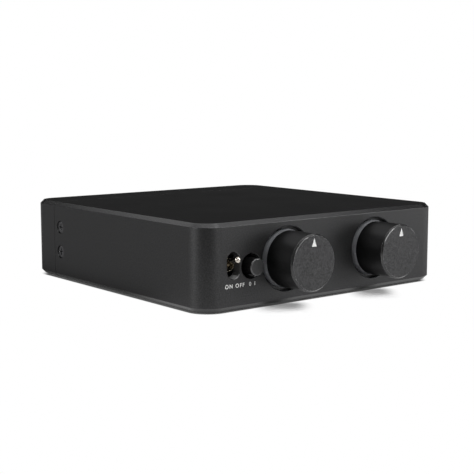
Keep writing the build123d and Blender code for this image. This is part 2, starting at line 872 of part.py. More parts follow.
with BuildPart() as main_board:
    with BuildSketch(Plane.XY.offset(board_z)):
        with Locations((0, board_middle_y)):
            Rectangle(board_width, board_rear_y - board_front_y)
        with Locations(*board_hole_places):
            Circle(clearance_hole_radius, mode=Mode.SUBTRACT)
    extrude(amount=board_thickness)
main_board.part.label = "main_board"

with BuildPart() as board_standoffs:
    with BuildSketch(Plane.XY.offset(plate_top_z)):
        with Locations(*board_hole_places):
            RegularPolygon(standoff_width / 2, 6, major_radius=False)
            Circle(thread_hole_radius, mode=Mode.SUBTRACT)
    extrude(amount=standoff_height)
board_standoffs.part.label = "board_standoffs"

# Parts that stand on the board: sizes are width, depth and height.
op_amp_size = (9.6, 6.4, 4.0)
op_amp_places = [(x, 26.0) for x in (-42.0, -22.0, -2.0, 18.0)]
film_capacitor_size = (4.6, 7.2, 9.5)
film_capacitor_places = [(-45.0 + 9.0 * step, 8.0) for step in range(8)]
relay_size = (20.0, 10.0, 10.0)
relay_places = [(input_pair_x, 50.0), (output_pair_x, 50.0)]
resistor_radius = 1.2
resistor_length = 6.3
resistor_places = [(-45.0 + 10.0 * column, y) for column in range(7) for y in (-8.0, -14.0)]
diode_radius = 1.35
diode_length = 5.2
diode_places = [(58.0, 40.0 + 5.0 * step) for step in range(4)]
filter_capacitor_radius = 5.0
filter_capacitor_height = 16.0
filter_capacitor_rim = 0.6
filter_capacitor_places = [(x, y) for x in (42.0, 55.0) for y in (-12.0, 2.0)]
regulator_body = (10.0, 4.4, 9.0)
regulator_tab = (10.0, 1.3, 15.5)
regulator_leg_height = 4.0
regulator_leg_pitch = 2.5
regulator_places = [(42.0, 22.0), (56.0, 22.0)]


def make_boxes(size, places, edge):
    """Identical moulded blocks on the board, with their upper edges eased."""
    width, depth, height = size
    with BuildPart() as blocks:
        with BuildSketch(Plane.XY.offset(board_top_z)):
            with Locations(*places):
                Rectangle(width, depth)
        extrude(amount=height)
        chamfer(blocks.faces().group_by(Axis.Z)[-1].edges(), edge)
    return blocks


def make_lying_cylinders(radius, length, places):
    """Identical small round parts that lie along X on the board."""
    with BuildPart() as parts:
        for x, y in places:
            with BuildSketch(Plane(origin=(x - length / 2, y, board_top_z + radius), z_dir=(1, 0, 0))):
                Circle(radius)
            extrude(amount=length)
        fillet(parts.edges().filter_by(GeomType.CIRCLE), radius / 3)
    return parts


op_amps = make_boxes(op_amp_size, op_amp_places, edge_break)
op_amps.part.label = "op_amps"
film_capacitors = make_boxes(film_capacitor_size, film_capacitor_places, edge_break)
film_capacitors.part.label = "film_capacitors"
relays = make_boxes(relay_size, relay_places, edge_break)
relays.part.label = "relays"
resistors = make_lying_cylinders(resistor_radius, resistor_length, resistor_places)
resistors.part.label = "resistors"
rectifier_diodes = make_lying_cylinders(diode_radius, diode_length, diode_places)
rectifier_diodes.part.label = "rectifier_diodes"

with BuildPart() as filter_capacitors:
    with BuildSketch(Plane.XY.offset(board_top_z)):
        with Locations(*filter_capacitor_places):
            Circle(filter_capacitor_radius)
    extrude(amount=filter_capacitor_height)
    fillet(filter_capacitors.edges().group_by(Axis.Z)[-1], filter_capacitor_rim)
filter_capacitors.part.label = "filter_capacitors"

with BuildPart() as voltage_regulators:
    body_z = board_top_z + regulator_leg_height
    with BuildSketch(Plane.XY.offset(body_z)):
        with Locations(*regulator_places):
            Rectangle(regulator_body[0], regulator_body[1])
    extrude(amount=regulator_body[2])
    with BuildSketch(Plane.XY.offset(body_z)):
        with Locations(*[(x, y + regulator_body[1] / 2) for x, y in regulator_places]):
            Rectangle(regulator_tab[0], regulator_tab[1], align=(Align.CENTER, Align.MAX))
    extrude(amount=regulator_tab[2])
    with BuildSketch(Plane.XY.offset(board_top_z)):
        with Locations(*regulator_places):
            with GridLocations(regulator_leg_pitch, 0, 3, 1):
                Rectangle(pin_width, pin_thickness)
    extrude(amount=regulator_leg_height)
voltage_regulators.part.label = "voltage_regulators"

# ---------------------------------------------------------------- files

pieces = [
    top_shell,
    rear_cap,
    base_plate,
    rubber_feet,
    side_screws,
    base_screws,
    board_screws,
    jack_screws,
    gain_knob,
    gain_knob_set_screw,
    gain_pot_shaft,
    gain_pot_housing,
    volume_knob,
    volume_knob_set_screw,
    volume_pot_shaft,
    volume_pot_housing,
    pot_washers,
    pot_nuts,
    toggle_lever,
    toggle_bushing,
    toggle_housing,
    button_cap,
    button_plunger,
    button_switch_housing,
    button_spring,
    input_jack_housing,
    output_jack_housing,
    jack_barrels,
    white_jack_inserts,
    red_jack_inserts,
    jack_centre_contacts,
    ground_post,
    ground_post_nut,
    ground_lug,
    ground_washer,
    ground_thumb_nut,
    power_inlet,
    power_inlet_pin,
    main_board,
    board_standoffs,
    op_amps,
    film_capacitors,
    relays,
    resistors,
    rectifier_diodes,
    filter_capacitors,
    voltage_regulators,
]
os.makedirs("parts", exist_ok=True)
for piece in pieces:
    export_step(piece.part, f"parts/{piece.part.label}.step")
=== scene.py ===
"""A phono preamp in a low black case: the finish of its surfaces, and the studio around it."""

import json
import math

import bmesh
import bpy
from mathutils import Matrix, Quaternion, Vector

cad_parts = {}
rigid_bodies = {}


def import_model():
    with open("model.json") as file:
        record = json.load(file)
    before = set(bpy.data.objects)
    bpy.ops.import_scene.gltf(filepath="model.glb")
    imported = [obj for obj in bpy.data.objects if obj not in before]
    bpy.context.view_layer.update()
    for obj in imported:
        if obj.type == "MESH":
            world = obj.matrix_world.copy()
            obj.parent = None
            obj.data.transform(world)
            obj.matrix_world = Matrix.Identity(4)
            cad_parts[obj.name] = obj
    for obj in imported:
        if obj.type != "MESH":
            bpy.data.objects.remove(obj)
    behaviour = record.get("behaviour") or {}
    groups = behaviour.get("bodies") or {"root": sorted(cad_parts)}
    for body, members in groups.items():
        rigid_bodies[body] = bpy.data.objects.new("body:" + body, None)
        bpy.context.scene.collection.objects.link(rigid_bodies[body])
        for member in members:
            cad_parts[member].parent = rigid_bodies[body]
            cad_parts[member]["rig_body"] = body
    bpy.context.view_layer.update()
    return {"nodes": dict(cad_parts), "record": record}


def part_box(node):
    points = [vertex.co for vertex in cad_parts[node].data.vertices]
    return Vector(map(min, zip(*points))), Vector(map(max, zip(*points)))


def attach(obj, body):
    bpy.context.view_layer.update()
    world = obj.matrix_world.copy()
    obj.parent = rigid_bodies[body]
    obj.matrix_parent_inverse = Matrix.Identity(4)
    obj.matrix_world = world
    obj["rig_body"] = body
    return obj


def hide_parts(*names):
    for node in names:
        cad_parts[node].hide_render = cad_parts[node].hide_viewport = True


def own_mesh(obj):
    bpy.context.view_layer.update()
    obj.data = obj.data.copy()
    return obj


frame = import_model()

MM = 0.001

# Camera: metres and degrees, in the frame of the object
CAMERA_PLACE = (-0.346694, -0.431680, 0.095066)
CAMERA_AZIMUTH = 38.8181
CAMERA_PITCH = 7.6136
CAMERA_LENS = 80.212
CAMERA_CLIP = (0.01, 100)

# CAD nodes that are finished in a way of their own
CASE_NODES = ("top_shell", "rear_cap", "base_plate")
CASE_SCREWS = ("side_screws", "base_screws")
KNOBS = ("gain_knob", "volume_knob")
TURNED_NODES = (*KNOBS, "button_cap")
ROUND_NODES = ("resistors", "rectifier_diodes", "button_spring", "toggle_lever")

# How far the edges of machined and moulded pieces are eased, and which edges are
CASE_EASE = 0.20 * MM
KNOB_EASE = 0.12 * MM
SCREW_EASE = 0.22 * MM
SMALL_EASE = 0.06 * MM
EASE_SEGMENTS = 2
ROUND_PROFILE = 0.5
SHARP_ANGLE = math.radians(25)
FLAT_ANGLE = math.radians(0.5)
WELD_DISTANCE = 1e-6
NORMAL_WEIGHT = 50

# The numbers of a part's finishes: 0 is the finish of its slot
SIDE, TOP, CUT, BORE, LIP, SEAT = range(6)
BARREL, FLARE, FACE, BEVEL, RIM = range(5)
KEEP_FINISH = -1

# What a face's unit normal has along an axis, at least or at most, to get one of them
TOP_FACING = 0.95
CUT_FACING = 0.3
BORE_FACING = 0.1
LIP_FACING = 0.70
FACE_FACING = 0.95
BEVEL_FACING = 0.2

# The lever's slot and the button's hole: middle x and z, half the width and half the height
BORES = ((-59.1 * MM, 20.7 * MM, 4.0 * MM, 6.4 * MM), (-49 * MM, 19.6 * MM, 5.5 * MM, 5.5 * MM))
BORE_DEPTH = 6 * MM

# The part of the case's sides that holds the seats of the side screws
SEAT_START = 70 * MM
SEAT_REACH = 4 * MM
SEAT_BOTTOM = 8 * MM
SEAT_TOP = 33 * MM

# Knobs and button
KNOB_RADIUS = 13.15 * MM
FLARE_MARGIN = 0.1 * MM
POINTER_TIP = 11.4 * MM
POINTER_BASE = 7.5 * MM
POINTER_HALF_WIDTH = 1.4 * MM
POINTER_DEPTH = 0.2 * MM
POINTER_SUNK = 0.04 * MM

# Lettering on the front: the words, their left end, base line and height, and the type's build
SWITCH_WORDS = ("ON OFF", -64.1 * MM, 10.7 * MM, 1.8 * MM)
BUTTON_WORDS = ("0 1", -50.4 * MM, 10.7 * MM, 1.8 * MM)
INK_THICKNESS = 0.02 * MM
TYPE_SIZE = 1.40
TYPE_SPACING = 1.30
TYPE_BOLDNESS = 0.014
TYPE_RESOLUTION = 4


# ---------------------------------------------------------------- places read from the frame


def middle(node):
    """The middle of a CAD node's box."""
    low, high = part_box(node)
    return (low + high) / 2


front_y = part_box("top_shell")[0].y
case_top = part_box("top_shell")[1].z
seat_y = middle("side_screws").y


def body_of_node(node):
    """The name of the CAD body that a node belongs to."""
    return frame["nodes"][node]["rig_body"]


def slot_of_node(node):
    """The record's material slot of a CAD node."""
    return next(p["material_slot"] for p in frame["record"]["subparts"] if p["node"] == node)


# ---------------------------------------------------------------- node trees


class Nodes:
    """The node tree of a material or a world, with short ways to add its nodes."""

    def __init__(self, owner):
        owner.use_nodes = True
        self.tree = owner.node_tree
        self.tree.nodes.clear()

    def feed(self, socket, value):
        """Links a socket to another, or sets it to a number, a vector or a colour."""
        if isinstance(value, bpy.types.NodeSocket):
            self.tree.links.new(value, socket)
        else:
            socket.default_value = (*value, 1.0) if socket.type == "RGBA" else value

    def add(self, kind, *inputs, **settings):
        """A node of that kind. Its inputs are fed in order, but for those that are None."""
        node = self.tree.nodes.new(kind)
        for setting, value in settings.items():
            setattr(node, setting, value)
        for i, value in enumerate(inputs):
            if value is not None:
                self.feed(node.inputs[i], value)
        return node

    def math(self, operation, first, second):
        return self.add("ShaderNodeMath", first, second, operation=operation).outputs[0]

    def product(self, first, *others):
        for other in others:
            first = self.math("MULTIPLY", first, other)
        return first

    def vector(self, operation, *inputs, out="Vector"):
        return self.add("ShaderNodeVectorMath", *inputs, operation=operation).outputs[out]

    def axis(self, place, name):
        return self.add("ShaderNodeSeparateXYZ", place).outputs[name]

    def spread(self, value, start, end, at_start=0.0, at_end=1.0, **settings):
        """A value that goes from at_start to at_end as the given one goes from start to end."""
        return self.add("ShaderNodeMapRange", value, start, end, at_start, at_end, **settings).outputs[0]

    def fade(self, value, start, end, at_start=0.0, at_end=1.0):
        """The same, with soft ends."""
        return self.spread(value, start, end, at_start, at_end, interpolation_type="SMOOTHSTEP")

    def mixed(self, factor, first, second):
        """One value where factor is 0 and the other where it is 1."""
        return self.add("ShaderNodeMix", factor, None, first, second).outputs[0]

    def blended(self, factor, first, second):
        """One colour where factor is 0 and the other where it is 1."""
        node = self.add("ShaderNodeMix", factor, data_type="RGBA")
        self.feed(node.inputs[6], first)
        self.feed(node.inputs[7], second)
        return node.outputs[2]

    def ray(self, kind):
        """1 for the camera's rays, the glossy ones or those of a transmission, and 0 for others."""
        return self.add("ShaderNodeLightPath").outputs[f"Is {kind} Ray"]

    def seen(self):
        """1 for what the camera sees, straight or in a mirror or through glass, and 0 for light."""
        mirrored = self.math("MAXIMUM", self.ray("Camera"), self.ray("Glossy"))
        return self.math("MAXIMUM", mirrored, self.ray("Transmission"))


# ---------------------------------------------------------------- materials

NOISE_RANGE = (0.25, 0.75)
GRAIN_DETAIL = 3.0
FLECKS = 0.9
WEAR_SAMPLES = 4
WEAR_GAIN = 8


class Shader(Nodes):
    """A material whose Principled shader is fed by procedural textures in object coordinates."""

    def __init__(self, name, colour, roughness, metallic=0.0):
        self.material = bpy.data.materials.new(name)
        self.material.diffuse_color = (*colour, 1.0)
        super().__init__(self.material)
        principled = self.add("ShaderNodeBsdfPrincipled")
        self.sockets = principled.inputs
        self.add("ShaderNodeOutputMaterial", principled.outputs["BSDF"])
        self.place = self.add("ShaderNodeTexCoord").outputs["Object"]
        self.give("Base Color", colour)
        self.give("Roughness", roughness)
        self.give("Metallic", metallic)

    def give(self, socket, value):
        """Feeds a socket of the Principled shader."""
        self.feed(self.sockets[socket], value)

    def noise(self, size, detail=2.0):
        """A noise whose grain is about size metres across, as a value from 0 to 1."""
        noise = self.add("ShaderNodeTexNoise", self.place)
        self.feed(noise.inputs["Scale"], 1 / size)
        self.feed(noise.inputs["Detail"], detail)
        return noise.outputs["Fac"]

    def ranged(self, noise, low, high):
        """The noise, spread from low to high."""
        return self.spread(noise, *NOISE_RANGE, low, high)

    def worn_edges(self, radius):
        """A mask of the edges within radius: 1 where they are sharpest."""
        rounded = self.add("ShaderNodeBevel", radius, samples=WEAR_SAMPLES).outputs["Normal"]
        flat = self.add("ShaderNodeNewGeometry").outputs["Normal"]
        level = self.vector("DOT_PRODUCT", rounded, flat, out="Value")
        return self.spread(level, 1.0, 1.0 - 1.0 / WEAR_GAIN)

    def bump(self, height, depth):
        """Adds relief of about depth metres to the surface's normal."""
        node = self.add("ShaderNodeBump")
        self.feed(node.inputs["Distance"], depth)
        self.feed(node.inputs["Height"], height)
        self.give("Normal", node.outputs["Normal"])


def shade(colour, factor):
    """The colour, made lighter or darker."""
    return tuple(channel * factor for channel in colour)


ANODISED_CLOUDS = 30 * MM
ANODISED_UNEVEN = 0.03
ANODISED_WEAR = 1.8
ANODISED_WEAR_RADIUS = 0.25 * MM


def anodised(name, sheen, body, glancing, roughness, grain):
    """Black anodised aluminium with a bead-blasted grain, worn a little lighter along its edges.

    sheen is what it mirrors straight on, and body what it scatters. The blasted grain hides the
    mirror at a glancing angle, so glancing tints that reflection darker. grain is the grain's
    size, how much lighter and darker it goes, and how deep it is."""
    size, contrast, depth = grain
    colour = tuple(channel + body for channel in sheen)
    shader = Shader(name, colour, roughness, metallic=sheen[1] / colour[1])
    shader.give("Specular IOR Level", 0.0)
    shader.give("Specular Tint", (glancing, glancing, glancing))
    grains = shader.noise(size, GRAIN_DETAIL)
    clouds = shader.noise(ANODISED_CLOUDS)
    dark, light, worn = (shade(colour, s) for s in (1 - contrast, 1 + contrast, ANODISED_WEAR))
    flat = shader.blended(shader.ranged(grains, 0, 1), dark, light)
    shader.give("Base Color", shader.blended(shader.worn_edges(ANODISED_WEAR_RADIUS), flat, worn))
    low, high = roughness - ANODISED_UNEVEN, roughness + ANODISED_UNEVEN
    shader.give("Roughness", shader.ranged(clouds, low, high))
    shader.bump(grains, depth)
    return shader.material


METAL_GRAIN = 0.08 * MM
METAL_GRAIN_DEPTH = 0.004 * MM
METAL_PATCHES = 2 * MM
METAL_UNEVEN = 0.2
METAL_WEAR_RADIUS = 0.12 * MM


def plain_metal(name, colour, roughness, wear=1.0):
    """Plated or bare metal with fine turning marks, a slightly uneven sheen, and edges that are
    worn until they are wear times as light."""
    shader = Shader(name, colour, roughness, metallic=1.0)
    marks = shader.noise(METAL_GRAIN)
    flat = shader.blended(shader.ranged(marks, 0, 1), shade(colour, FLECKS), colour)
    worn = shader.blended(shader.worn_edges(METAL_WEAR_RADIUS), flat, shade(colour, wear))
    shader.give("Base Color", worn)
    patches = shader.noise(METAL_PATCHES)
    low, high = roughness * (1 - METAL_UNEVEN), roughness * (1 + METAL_UNEVEN)
    shader.give("Roughness", shader.ranged(patches, low, high))
    shader.bump(marks, METAL_GRAIN_DEPTH)
    return shader.material


MOULDED_PATCHES = 4 * MM
MOULDED_UNEVEN = 0.05


def moulded(name, colour, roughness, grain=0.15 * MM, depth=0.004 * MM):
    """Moulded plastic or rubber: a faint texture and a slightly uneven sheen."""
    shader = Shader(name, colour, roughness)
    grains = shader.noise(grain, GRAIN_DETAIL)
    flecked = shader.blended(shader.ranged(grains, 0, 1), shade(colour, FLECKS), colour)
    shader.give("Base Color", flecked)
    patches = shader.noise(MOULDED_PATCHES)
    low, high = roughness - MOULDED_UNEVEN, roughness + MOULDED_UNEVEN
    shader.give("Roughness", shader.ranged(patches, low, high))
    shader.bump(grains, depth)
    return shader.material


# Grain of the anodised finishes: its size, contrast and depth
CASE_GRAIN = (0.60 * MM, 0.26, 0.0015 * MM)
TOP_GRAIN = (0.45 * MM, 0.15, 0.0015 * MM)
FACE_GRAIN = (0.55 * MM, 0.60, 0.0030 * MM)
EDGE_GRAIN = (0.40 * MM, 0.12, 0.0010 * MM)

# Anodised finishes: name, sheen, body, glancing, roughness and grain
case_finish = anodised("case_anodised", (0.0460, 0.0460, 0.0468), 0.0045, 0.66, 0.42, CASE_GRAIN)
# The top faces get a copy of the case finish that mirrors far less and scatters more, so that the top
# renders darker than the sides: painted shade
top_shade_finish = anodised("case_top_painted_shade", (0.0030, 0.0030, 0.0031), 0.0140, 0.02, 0.35, TOP_GRAIN)
# The chamfers get a copy of the case finish that mirrors more, so that they render lighter than the
# faces beside them: painted sheen
chamfer_sheen_finish = anodised("chamfer_painted_sheen", (0.0640, 0.0640, 0.0652), 0.0045, 0.85, 0.25, EDGE_GRAIN)
# The walls of the lever's slot and the button's hole get a much lighter copy of the case finish, so that
# the lamps light them up inside: painted light
bore_light_finish = anodised("bore_wall_painted_light", (0.0300, 0.0300, 0.0310), 0.060, 0.66, 0.40, EDGE_GRAIN)
# The upward faces at the lower ends of the slot and the hole get a far lighter copy still: painted light
# where the lamps fall in
lip_light_finish = anodised("bore_lip_painted_light", (0.0300, 0.0300, 0.0310), 0.260, 0.66, 0.40, EDGE_GRAIN)
# The cone seats round the side screws get a darker copy of the case finish: painted shade in the ring
# round each head
seat_shade_finish = anodised("screw_seat_painted_shade", (0.0140, 0.0140, 0.0143), 0.002, 0.66, 0.30, EDGE_GRAIN)
barrel_finish = anodised("barrel_anodised", (0.0280, 0.0280, 0.0286), 0.0050, 0.50, 0.36, TOP_GRAIN)
face_finish = anodised("knob_face_anodised", (0.0570, 0.0570, 0.0581), 0.0045, 0.66, 0.26, FACE_GRAIN)
bevel_finish = anodised("knob_bevel_anodised", (0.0500, 0.0500, 0.0505), 0.020, 1.0, 0.15, EDGE_GRAIN)
rim_finish = anodised("knob_rim_worn", (0.200, 0.200, 0.205), 0.250, 1.0, 0.25, EDGE_GRAIN)
# The knobs' flare gets a far lighter, bluish copy of the knob finish: painted highlight on the crescent
# round each knob's base
flare_light_finish = anodised("knob_flare_painted_light", (0.165, 0.173, 0.194), 0.200, 1.0, 0.34, EDGE_GRAIN)
# The button's face gets a copy that scatters far more, so that it stays light where the knob beside it
# darkens its reflection: painted light
button_face_light_finish = anodised("button_face_painted_light", (0.0300, 0.0300, 0.0306), 0.0360, 0.66, 0.30, TOP_GRAIN)
button_rim = anodised("button_rim_worn", (0.100, 0.100, 0.1025), 0.050, 1.0, 0.25, EDGE_GRAIN)

CASE_FINISHES = (top_shade_finish, chamfer_sheen_finish, bore_light_finish, lip_light_finish, seat_shade_finish)
KNOB_FINISHES = (flare_light_finish, face_finish, bevel_finish, rim_finish)
BUTTON_FINISHES = (flare_light_finish, button_face_light_finish, bevel_finish, button_rim)

# The toggle's bushing: a darker, warm nickel that paints the shade inside the lever's slot
slot_shaded_nickel = plain_metal("slot_shaded_nickel", (0.36, 0.33, 0.26), 0.26)
ink = moulded("white_ink", (0.97, 0.97, 0.96), 0.6)

FINISHES = {
    "case_aluminium": case_finish,
    "knob_aluminium": barrel_finish,
    "black_steel": plain_metal("black_oxide_steel", (0.075, 0.075, 0.078), 0.38, wear=5.0),
    "plain_steel": plain_metal("nickel_plate", (0.64, 0.59, 0.53), 0.22),
    "foot_rubber": moulded("foot_rubber", (0.02, 0.02, 0.02), 0.75, 0.3 * MM, 0.02 * MM),
    "gold_brass": plain_metal("gold_plate", (0.88, 0.62, 0.27), 0.2),
    "plain_brass": plain_metal("bare_brass", (0.72, 0.56, 0.28), 0.3),
    "black_plastic": moulded("black_plastic", (0.022, 0.022, 0.023), 0.5),
    "pot_metal": plain_metal("zinc_plate", (0.5, 0.5, 0.47), 0.4),
    "white_plastic": moulded("white_plastic", (0.78, 0.78, 0.75), 0.35),
    "red_plastic": moulded("red_plastic", (0.5, 0.02, 0.02), 0.35),
    "board_laminate": moulded("solder_mask", (0.01, 0.09, 0.05), 0.3),
    "resistor_body": moulded("resistor_lacquer", (0.16, 0.4, 0.55), 0.35),
    "capacitor_can": moulded("capacitor_sleeve", (0.02, 0.025, 0.05), 0.35),
}


def finish_of_node(node):
    """The finish of a node's slot, or for the toggle's bushing a darker, warm nickel that paints the
    shade inside the lever's slot.
    """
    return slot_shaded_nickel if node == "toggle_bushing" else FINISHES[slot_of_node(node)]


def finish_nodes():
    """Gives every CAD node its finish."""
    for name, node in frame["nodes"].items():
        node.data.materials.clear()
        node.data.materials.append(finish_of_node(name))


# ---------------------------------------------------------------- meshes


def add_piece(name, mesh, body, slot, *finishes):
    """Puts a mesh in the scene as a piece that rides on a CAD body."""
    piece = bpy.data.objects.new(name, mesh)
    bpy.context.scene.collection.objects.link(piece)
    for finish in finishes:
        mesh.materials.append(finish)
    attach(piece, body)
    return piece


def ease_edges(bm, width, worn):
    """Rounds a mesh's sharp edges; worn is the number of their finish."""
    sharp = [e for e in bm.edges if len(e.link_faces) == 2 and e.calc_face_angle() > SHARP_ANGLE]
    bmesh.ops.bevel(
        bm,
        geom=sharp,
        offset=width,
        offset_type="OFFSET",
        segments=EASE_SEGMENTS,
        profile=ROUND_PROFILE,
        affect="EDGES",
        clamp_overlap=True,
        material=worn,
    )


def eased(node, width, finish_of=None, more_finishes=(), worn=KEEP_FINISH):
    """A piece that stands for a CAD node, with its edges eased by width.

    finish_of gives the number of a face's finish: 0 is the finish of the node's slot, and 1 the
    first of more_finishes. worn is the number for the eased edges."""
    bm = bmesh.new()
    bm.from_mesh(frame["nodes"][node].data)
    bmesh.ops.remove_doubles(bm, verts=bm.verts, dist=WELD_DISTANCE)
    bmesh.ops.dissolve_limit(bm, angle_limit=FLAT_ANGLE, verts=bm.verts, edges=bm.edges)
    if finish_of:
        for face in bm.faces:
            face.material_index = finish_of(face)
    ease_edges(bm, width, worn)
    mesh = bpy.data.meshes.new(node + "_eased")
    bm.to_mesh(mesh)
    bm.free()
    mesh.shade_smooth()
    finishes = (finish_of_node(node), *more_finishes)
    piece = add_piece(node + "_eased", mesh, body_of_node(node), slot_of_node(node), *finishes)
    keep_flat(piece)
    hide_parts(node)


def keep_flat(piece):
    """Lets flat faces stay flat beside their eased edges."""
    modifier = piece.modifiers.new("weighted normals", "WEIGHTED_NORMAL")
    modifier.mode = "FACE_AREA"
    modifier.weight = NORMAL_WEIGHT


# ---------------------------------------------------------------- pieces


def is_in_bore(place):
    """Whether a place lies in the lever's slot or the button's hole."""
    if place.y > front_y + BORE_DEPTH:
        return False
    return any(abs(place.x - x) < width and abs(place.z - z) < height for x, z, width, height in BORES)


def is_by_side_screws(place):
    """Whether a place lies near the screws of a side of the case."""
    beside = abs(place.x) > SEAT_START and abs(place.y - seat_y) < SEAT_REACH
    return beside and SEAT_BOTTOM < place.z < SEAT_TOP


def case_part(face):
    """The number of the finish of one of the case's faces: the top and the screw seats get painted
    shade, the chamfers painted sheen, and the walls of the slot and the hole painted light.
    """
    normal, place = face.normal, face.calc_center_median()
    if normal.z > TOP_FACING and place.z > case_top - CASE_EASE:
        return TOP
    if abs(normal.y) < BORE_FACING and is_in_bore(place):
        return LIP if normal.z > LIP_FACING else BORE
    if CUT_FACING < abs(normal.x) < TOP_FACING and is_by_side_screws(place):
        return SEAT
    return CUT if CUT_FACING < abs(normal.z) < TOP_FACING else SIDE


def plain_pieces():
    """Every node that needs no more than eased edges."""
    for node in sorted(frame["nodes"]):
        if node in CASE_NODES:
            eased(node, CASE_EASE, case_part, CASE_FINISHES)
        elif node in CASE_SCREWS:
            eased(node, SCREW_EASE)
        elif node not in TURNED_NODES + ROUND_NODES:
            eased(node, SMALL_EASE)


def turned(node):
    """A knob or the button, whose face, bevel, flare and rim differ from its barrel."""
    axis = middle(node)

    def part(face):
        if face.calc_center_median().y > axis.y:
            radii = [math.hypot(v.co.x - axis.x, v.co.z - axis.z) for v in face.verts]
            return FLARE if max(radii) > KNOB_RADIUS + FLARE_MARGIN else BARREL
        if -face.normal.y > FACE_FACING:
            return FACE
        return BEVEL if -face.normal.y > BEVEL_FACING else BARREL

    finishes = KNOB_FINISHES if node in KNOBS else BUTTON_FINISHES
    eased(node, KNOB_EASE, part, finishes, worn=RIM)


def button_coil():
    """The button's spring, as a piece with a mesh of its own."""
    node = "button_spring"
    mesh = frame["nodes"][node].data.copy()
    mesh.materials.clear()
    piece = add_piece(node + "_coil", mesh, body_of_node(node), slot_of_node(node), finish_of_node(node))
    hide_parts(node)
    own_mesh(piece)


def pointer(node):
    """The white paint in the triangle cut into a knob's face."""
    axis = middle(node)
    face_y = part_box(node)[0].y
    outline = ((0, POINTER_TIP), (-POINTER_HALF_WIDTH, POINTER_BASE), (POINTER_HALF_WIDTH, POINTER_BASE))
    bm = bmesh.new()
    front = [bm.verts.new((axis.x + x, face_y + POINTER_SUNK, axis.z + z)) for x, z in outline]
    back = [bm.verts.new((axis.x + x, face_y + POINTER_DEPTH, axis.z + z)) for x, z in outline]
    bm.faces.new(front)
    bm.faces.new(back[::-1])
    for i in range(len(outline)):
        j = (i + 1) % len(outline)
        bm.faces.new((front[j], front[i], back[i], back[j]))
    bmesh.ops.recalc_face_normals(bm, faces=bm.faces)
    mesh = bpy.data.meshes.new(node + "_pointer")
    bm.to_mesh(mesh)
    bm.free()
    add_piece(node + "_pointer", mesh, body_of_node(node), "white_plastic", ink)


def lettering(name, words, left, low, height):
    """Plain lettering printed on the front, from its left end and its base line."""
    curve = bpy.data.curves.new(name, "FONT")
    curve.body = words
    curve.size = height * TYPE_SIZE
    curve.space_character = TYPE_SPACING
    curve.extrude = INK_THICKNESS
    curve.offset = TYPE_BOLDNESS * curve.size
    curve.resolution_u = TYPE_RESOLUTION
    shape = bpy.data.objects.new(name + "_type", curve)
    shape.location = (left, front_y, low)
    shape.rotation_euler = (math.radians(90), 0, 0)
    bpy.context.scene.collection.objects.link(shape)
    bpy.context.view_layer.update()
    mesh = bpy.data.meshes.new_from_object(shape.evaluated_get(bpy.context.evaluated_depsgraph_get()))
    mesh.transform(shape.matrix_world)
    bpy.data.objects.remove(shape)
    bm = bmesh.new()
    bm.from_mesh(mesh)
    bmesh.ops.remove_doubles(bm, verts=bm.verts, dist=WELD_DISTANCE)
    bm.to_mesh(mesh)
    bm.free()
    mesh.name = name
    mesh.materials.clear()
    add_piece(name, mesh, body_of_node("top_shell"), "white_plastic", ink)


# ---------------------------------------------------------------- studio


def heading(azimuth):
    """The way that is azimuth degrees clockwise from straight back, seen from above."""
    return Vector((math.sin(math.radians(azimuth)), math.cos(math.radians(azimuth)), 0))


# Floor: its size in metres, its paint, and the glow that makes it pale in the camera
FLOOR_SIZE = 60
FLOOR_COLOUR = (0.9, 0.9, 0.9)
FLOOR_GLOW = 0.22

# Painted shadow in the gap under the case: the case's corner radius, where the painted dark starts and
# ends from its outline
CASE_RADIUS = 11 * MM
SEEN_EDGE = (-0.6 * MM, 0.5 * MM)
MIRRORED_EDGE = (-4 * MM, 0.0)
GAP_SHADOW_PAINT = (0.24, 0.24, 0.24)
GAP_GLOW = 0.04
ACROSS = heading(CAMERA_AZIMUTH + 90)
CORNER_ENDS = ((-101 * MM, -106 * MM), (95 * MM, 100 * MM))

# Places that keep their shadow: middle, half the size, turn, and how far the shadow fades out
SHADOW_TURN = math.radians(CAMERA_AZIMUTH)
SHADOWS = (
    ((-36 * MM, -79 * MM, 0.0), (5 * MM, 8 * MM, 0.0), SHADOW_TURN, 10 * MM),
    ((22 * MM, -79 * MM, 0.0), (4 * MM, 8 * MM, 0.0), SHADOW_TURN, 10 * MM),
    ((40 * MM, 60 * MM, 0.0), (40 * MM, 40 * MM, 0.0), 0.0, 30 * MM),
)
MIRRORED_SHADOW_Y = (-79 * MM, -75 * MM)

# The room that only mirrors see, dim toward one side: how far round that goes, and how far out
ROOM_LEVEL = 0.035
ROOM_START = 0.05
ROOM_END = 0.42
ROOM_SIDE = (0.77, 0.94)
DARK_WAY = heading(180 + 47)

# The floor beside the case's left side, as mirrors see it, darkened there with painted shade: where it
# starts, and its levels
LEFT_SIDE = (-72 * MM, -69 * MM)
LEFT_START = (-60 * MM, 0 * MM)
LEFT_NEAR = (-100 * MM, -80 * MM)
LEFT_LEVELS = (0.58, 0.13)

# Backdrop that mirrors see: heights above the horizon, and how far it goes to each side
WHITE = (1, 1, 1)
BACKDROP_TOP = math.sin(math.radians(5))
BACKDROP_END = math.sin(math.radians(10))
BACKDROP_SIDE = 0.2


def outside(nodes, place, centre, half, turn=0.0):
    """How far a place on the floor is outside a rectangle, which is turned clockwise."""
    centred = nodes.vector("SUBTRACT", place, centre)
    if turn:
        centred = nodes.add("ShaderNodeVectorRotate", centred, None, None, turn).outputs[0]
    beyond = nodes.vector("SUBTRACT", nodes.vector("ABSOLUTE", centred), half)
    return nodes.vector("LENGTH", nodes.vector("MAXIMUM", beyond, (0, 0, 0)), out="Value")


